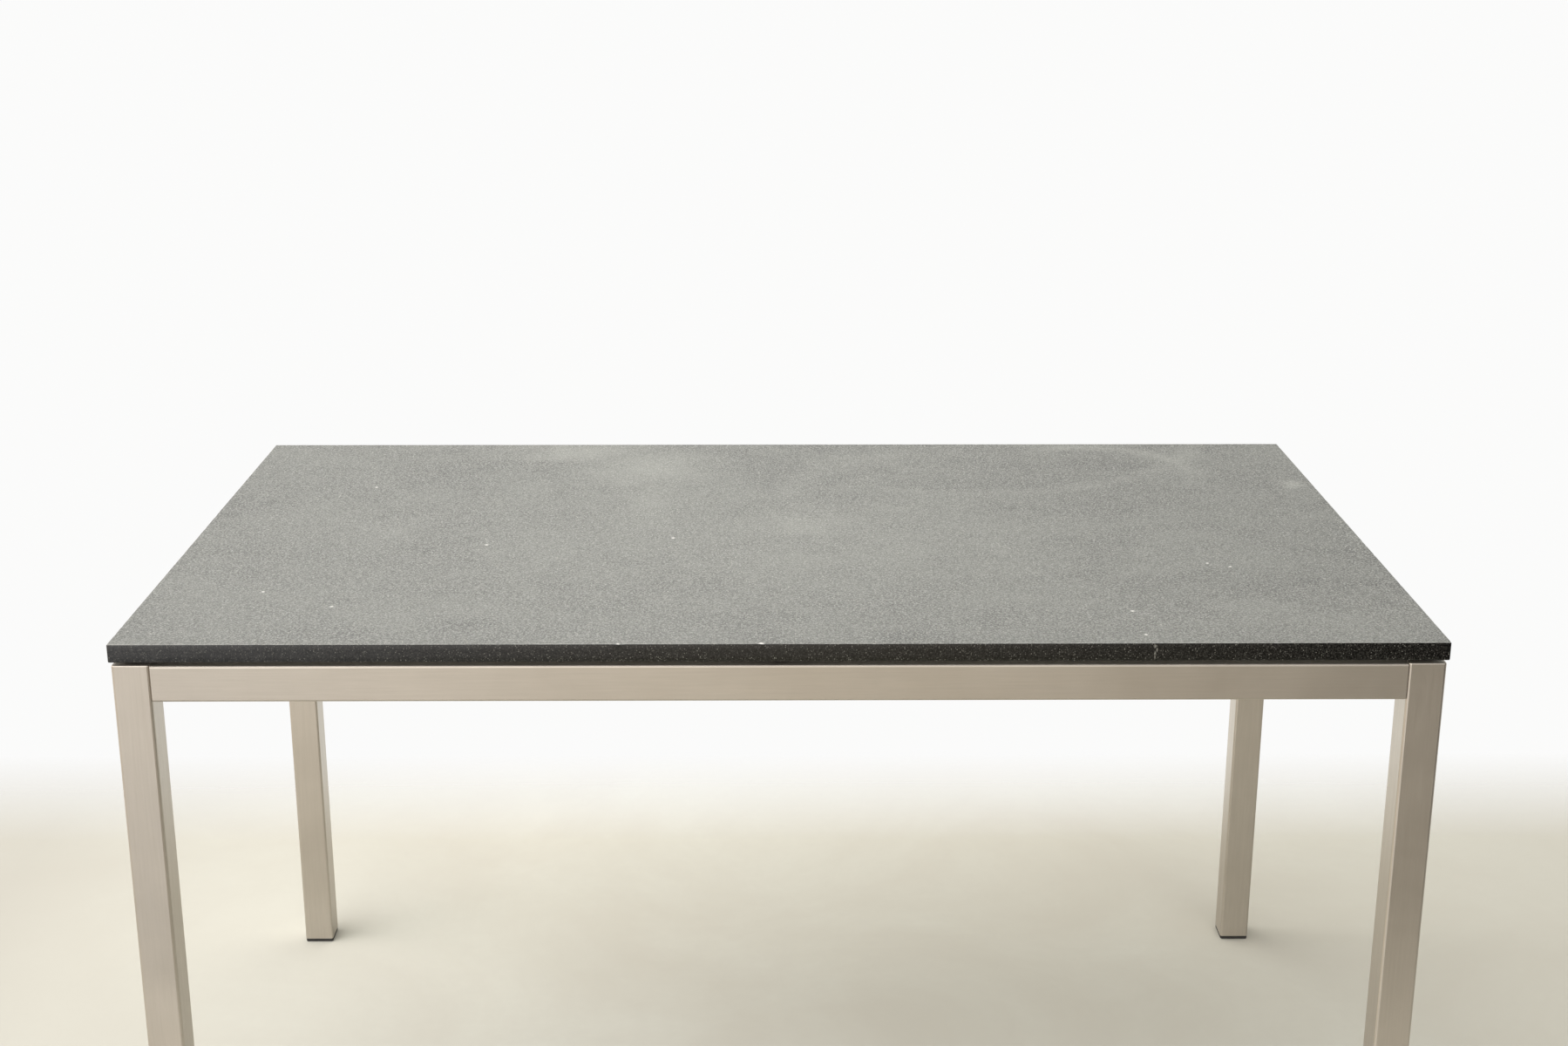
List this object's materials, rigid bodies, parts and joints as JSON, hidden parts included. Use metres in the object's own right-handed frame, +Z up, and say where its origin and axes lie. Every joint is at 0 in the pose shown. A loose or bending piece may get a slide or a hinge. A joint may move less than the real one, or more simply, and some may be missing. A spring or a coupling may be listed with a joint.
{
  "type": "granite slab table",
  "caption": "Work table: a loose, dark granite slab with eased edges lies on rubber pads over a bolted frame of square steel tube legs and flush rails.",
  "frame": {"origin": "on the floor, under the middle of the slab", "axes": "+X along the slab's length to the right, +Y along its width to the back, +Z up"},
  "size_m": [1.4, 0.8, 0.75],
  "materials": {
    "granite": "dark granite, honed top, polished edges",
    "frame_coat": "satin champagne metallic coat",
    "zinc": "bright zinc plate",
    "rubber": "matt black rubber",
    "plastic": "matt black moulded plastic"
  },
  "bodies": {
    "frame": {"leg_front_left": "frame_coat", "leg_front_right": "frame_coat", "leg_back_right": "frame_coat", "leg_back_left": "frame_coat", "rail_front": "frame_coat", "rail_right": "frame_coat", "rail_back": "frame_coat", "rail_left": "frame_coat", "cross_rail": "frame_coat", "bracket_front_left": "zinc", "bracket_front_right": "zinc", "bracket_back_right": "zinc", "bracket_back_left": "zinc", "foot_front_left": "plastic", "foot_front_right": "plastic", "foot_back_right": "plastic", "foot_back_left": "plastic", "leg_pad_front_left": "rubber", "leg_pad_front_right": "rubber", "leg_pad_back_right": "rubber", "leg_pad_back_left": "rubber", "cross_pad_front": "rubber", "cross_pad_back": "rubber", "leg_bolt_upper_front_left": "zinc", "leg_bolt_lower_front_left": "zinc", "leg_bolt_upper_front_right": "zinc", "leg_bolt_lower_front_right": "zinc", "leg_bolt_upper_back_right": "zinc", "leg_bolt_lower_back_right": "zinc", "leg_bolt_upper_back_left": "zinc", "leg_bolt_lower_back_left": "zinc", "rivet_nut_upper_front_left": "zinc", "rivet_nut_lower_front_left": "zinc", "rivet_nut_upper_front_right": "zinc", "rivet_nut_lower_front_right": "zinc", "rivet_nut_upper_back_right": "zinc", "rivet_nut_lower_back_right": "zinc", "rivet_nut_upper_back_left": "zinc", "rivet_nut_lower_back_left": "zinc", "rail_screw_a1_front_left": "zinc", "rail_screw_a2_front_left": "zinc", "rail_screw_b1_front_left": "zinc", "rail_screw_b2_front_left": "zinc", "rail_screw_a1_front_right": "zinc", "rail_screw_a2_front_right": "zinc", "rail_screw_b1_front_right": "zinc", "rail_screw_b2_front_right": "zinc", "rail_screw_a1_back_right": "zinc", "rail_screw_a2_back_right": "zinc", "rail_screw_b1_back_right": "zinc", "rail_screw_b2_back_right": "zinc", "rail_screw_a1_back_left": "zinc", "rail_screw_a2_back_left": "zinc", "rail_screw_b1_back_left": "zinc", "rail_screw_b2_back_left": "zinc", "cross_rail_screw_front_left": "zinc", "cross_rail_screw_front_right": "zinc", "cross_rail_screw_back_left": "zinc", "cross_rail_screw_back_right": "zinc"},
    "slab": {"granite_slab": "granite"}
  },
  "joints": [
    {"name": "slab_lift", "type": "slide", "parent": "frame", "child": "slab", "axis": [0, 0, 1], "range_m": [0, 0.12]}
  ]
}
